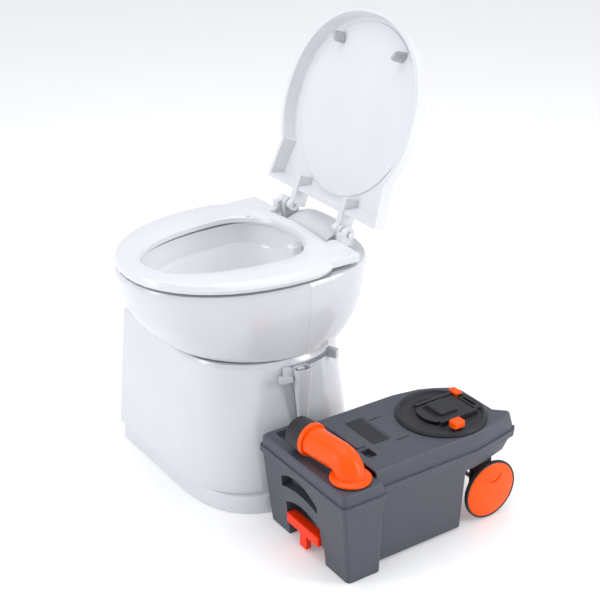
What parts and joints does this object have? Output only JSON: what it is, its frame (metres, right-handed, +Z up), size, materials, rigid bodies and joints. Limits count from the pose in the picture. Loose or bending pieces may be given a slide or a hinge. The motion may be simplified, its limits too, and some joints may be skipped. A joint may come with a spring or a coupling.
{
  "type": "cassette toilet",
  "caption": "Swivel-bowl cassette toilet with hinged seat and lid on a hollow pedestal, beside its wheeled waste tank with swivelling spout.",
  "frame": {"origin": "on the floor, on the axis the bowl swivels about", "axes": "+Z up, the curved front of the pedestal faces -Y, the bowl is turned to face -X, and the tank stands in front along X"},
  "size_m": [0.5749, 0.693, 0.8668],
  "materials": {
    "white_plastic": "glossy moulded",
    "liner_plastic": "polished moulded",
    "seat_plastic": "glossy moulded",
    "grey_plastic": "satin moulded",
    "nylon": "satin moulded",
    "pale_rubber": "matt",
    "dark_rubber": "matt",
    "steel": "turned",
    "slate_plastic": "fine-grained moulded",
    "dark_slate_plastic": "fine-grained moulded",
    "black_plastic": "moulded",
    "orange_plastic": "glossy moulded",
    "red_plastic": "satin moulded"
  },
  "bodies": {
    "base": {"pedestal_shell": "white_plastic", "plinth": "white_plastic", "base_plate": "white_plastic", "floor_screw_1": "steel", "floor_screw_2": "steel", "floor_screw_3": "steel", "floor_screw_4": "steel", "bay_rail_left": "nylon", "bay_rail_right": "nylon", "swivel_race": "nylon", "drive_carrier": "nylon", "lever_stop": "grey_plastic"},
    "lever": {"drive_ring": "nylon", "blade_lever": "grey_plastic", "lever_bracket": "grey_plastic"},
    "bowl": {"bowl_casing": "white_plastic", "rear_housing": "white_plastic", "bowl_liner": "liner_plastic", "turntable": "nylon", "retaining_ring": "nylon", "outlet_seal": "dark_rubber", "rear_deck": "white_plastic", "hinge_post_left": "white_plastic", "hinge_post_right": "white_plastic", "hinge_pin_left": "steel", "hinge_pin_right": "steel", "flush_nozzle": "liner_plastic", "flush_valve": "black_plastic", "flush_hose": "dark_rubber"},
    "seat": {"seat": "seat_plastic", "seat_buffer_left": "pale_rubber", "seat_buffer_right": "pale_rubber"},
    "lid": {"lid": "seat_plastic", "lid_panel": "seat_plastic", "lid_buffer_left": "pale_rubber", "lid_buffer_right": "pale_rubber"},
    "tank": {"tank_lower": "slate_plastic", "tank_upper": "slate_plastic", "spout_bush": "black_plastic", "mechanism_housing": "dark_slate_plastic", "lip_seal": "dark_rubber", "cover_guide_left": "dark_slate_plastic", "cover_guide_right": "dark_slate_plastic", "latch_pin": "steel", "axle_bracket_left": "black_plastic", "axle_bracket_right": "black_plastic", "axle": "steel"},
    "spout": {"spout_elbow": "orange_plastic"},
    "cap": {"spout_cap": "dark_slate_plastic", "cap_seal": "dark_rubber"},
    "cover": {"sliding_cover": "dark_slate_plastic"},
    "knob": {"blade_knob": "orange_plastic", "blade_shaft": "black_plastic", "valve_blade": "black_plastic"},
    "vent": {"vent_button": "orange_plastic"},
    "latch": {"tank_latch": "red_plastic"},
    "wheel_left": {"wheel_left": "orange_plastic", "tyre_left": "dark_rubber"},
    "wheel_right": {"wheel_right": "orange_plastic", "tyre_right": "dark_rubber"}
  },
  "joints": [
    {"name": "bowl_swivel", "type": "hinge", "parent": "base", "child": "bowl", "pos_m": [0, 0, 0.297], "axis": [0, 0, 1], "range_deg": [0, 180]},
    {"name": "seat_hinge", "type": "hinge", "parent": "bowl", "child": "seat", "pos_m": [0.15, 0, 0.477], "axis": [0, 1, 0], "range_deg": [0, 104]},
    {"name": "lid_hinge", "type": "hinge", "parent": "bowl", "child": "lid", "pos_m": [0.15, 0, 0.477], "axis": [0, 1, 0], "range_deg": [-109.3, 0]},
    {"name": "blade_lever_turn", "type": "hinge", "parent": "base", "child": "lever", "pos_m": [0, 0, 0.266], "axis": [0, 0, 1], "range_deg": [0, 19]},
    {"name": "tank_roll", "type": "slide", "parent": "base", "child": "tank", "axis": [-1, 0, 0], "range_m": [0, 0.3]},
    {"name": "spout_swivel", "type": "hinge", "parent": "tank", "child": "spout", "pos_m": [-0.075, -0.437, 0.188], "axis": [0, 0, 1], "range_deg": [0, 150]},
    {"name": "spout_cap_pull", "type": "slide", "parent": "spout", "child": "cap", "axis": [-0.1045, 0.9945, 0], "range_m": [0, 0.05]},
    {"name": "cover_slide", "type": "slide", "parent": "tank", "child": "cover", "axis": [-1, 0, 0], "range_m": [0, 0.024]},
    {"name": "blade_knob_turn", "type": "hinge", "parent": "tank", "child": "knob", "pos_m": [0.169, -0.427, 0.19], "axis": [0, 0, 1], "range_deg": [0, 72]},
    {"name": "vent_press", "type": "slide", "parent": "tank", "child": "vent", "axis": [0, 0, -1], "range_m": [0, 0.003], "stiffness_N_per_m": 600, "springref_m": -0.002},
    {"name": "latch_pull", "type": "hinge", "parent": "tank", "child": "latch", "pos_m": [-0.103, -0.346, 0.043], "axis": [0, 1, 0], "range_deg": [0, 18], "stiffness_Nm_per_rad": 1.2, "springref_deg": -14.32},
    {"name": "wheel_left_spin", "type": "hinge", "parent": "tank", "child": "wheel_left", "pos_m": [0.238, -0.269, 0.059], "axis": [0, 1, 0], "continuous": true},
    {"name": "wheel_right_spin", "type": "hinge", "parent": "tank", "child": "wheel_right", "pos_m": [0.238, -0.445, 0.059], "axis": [0, 1, 0], "continuous": true}
  ]
}
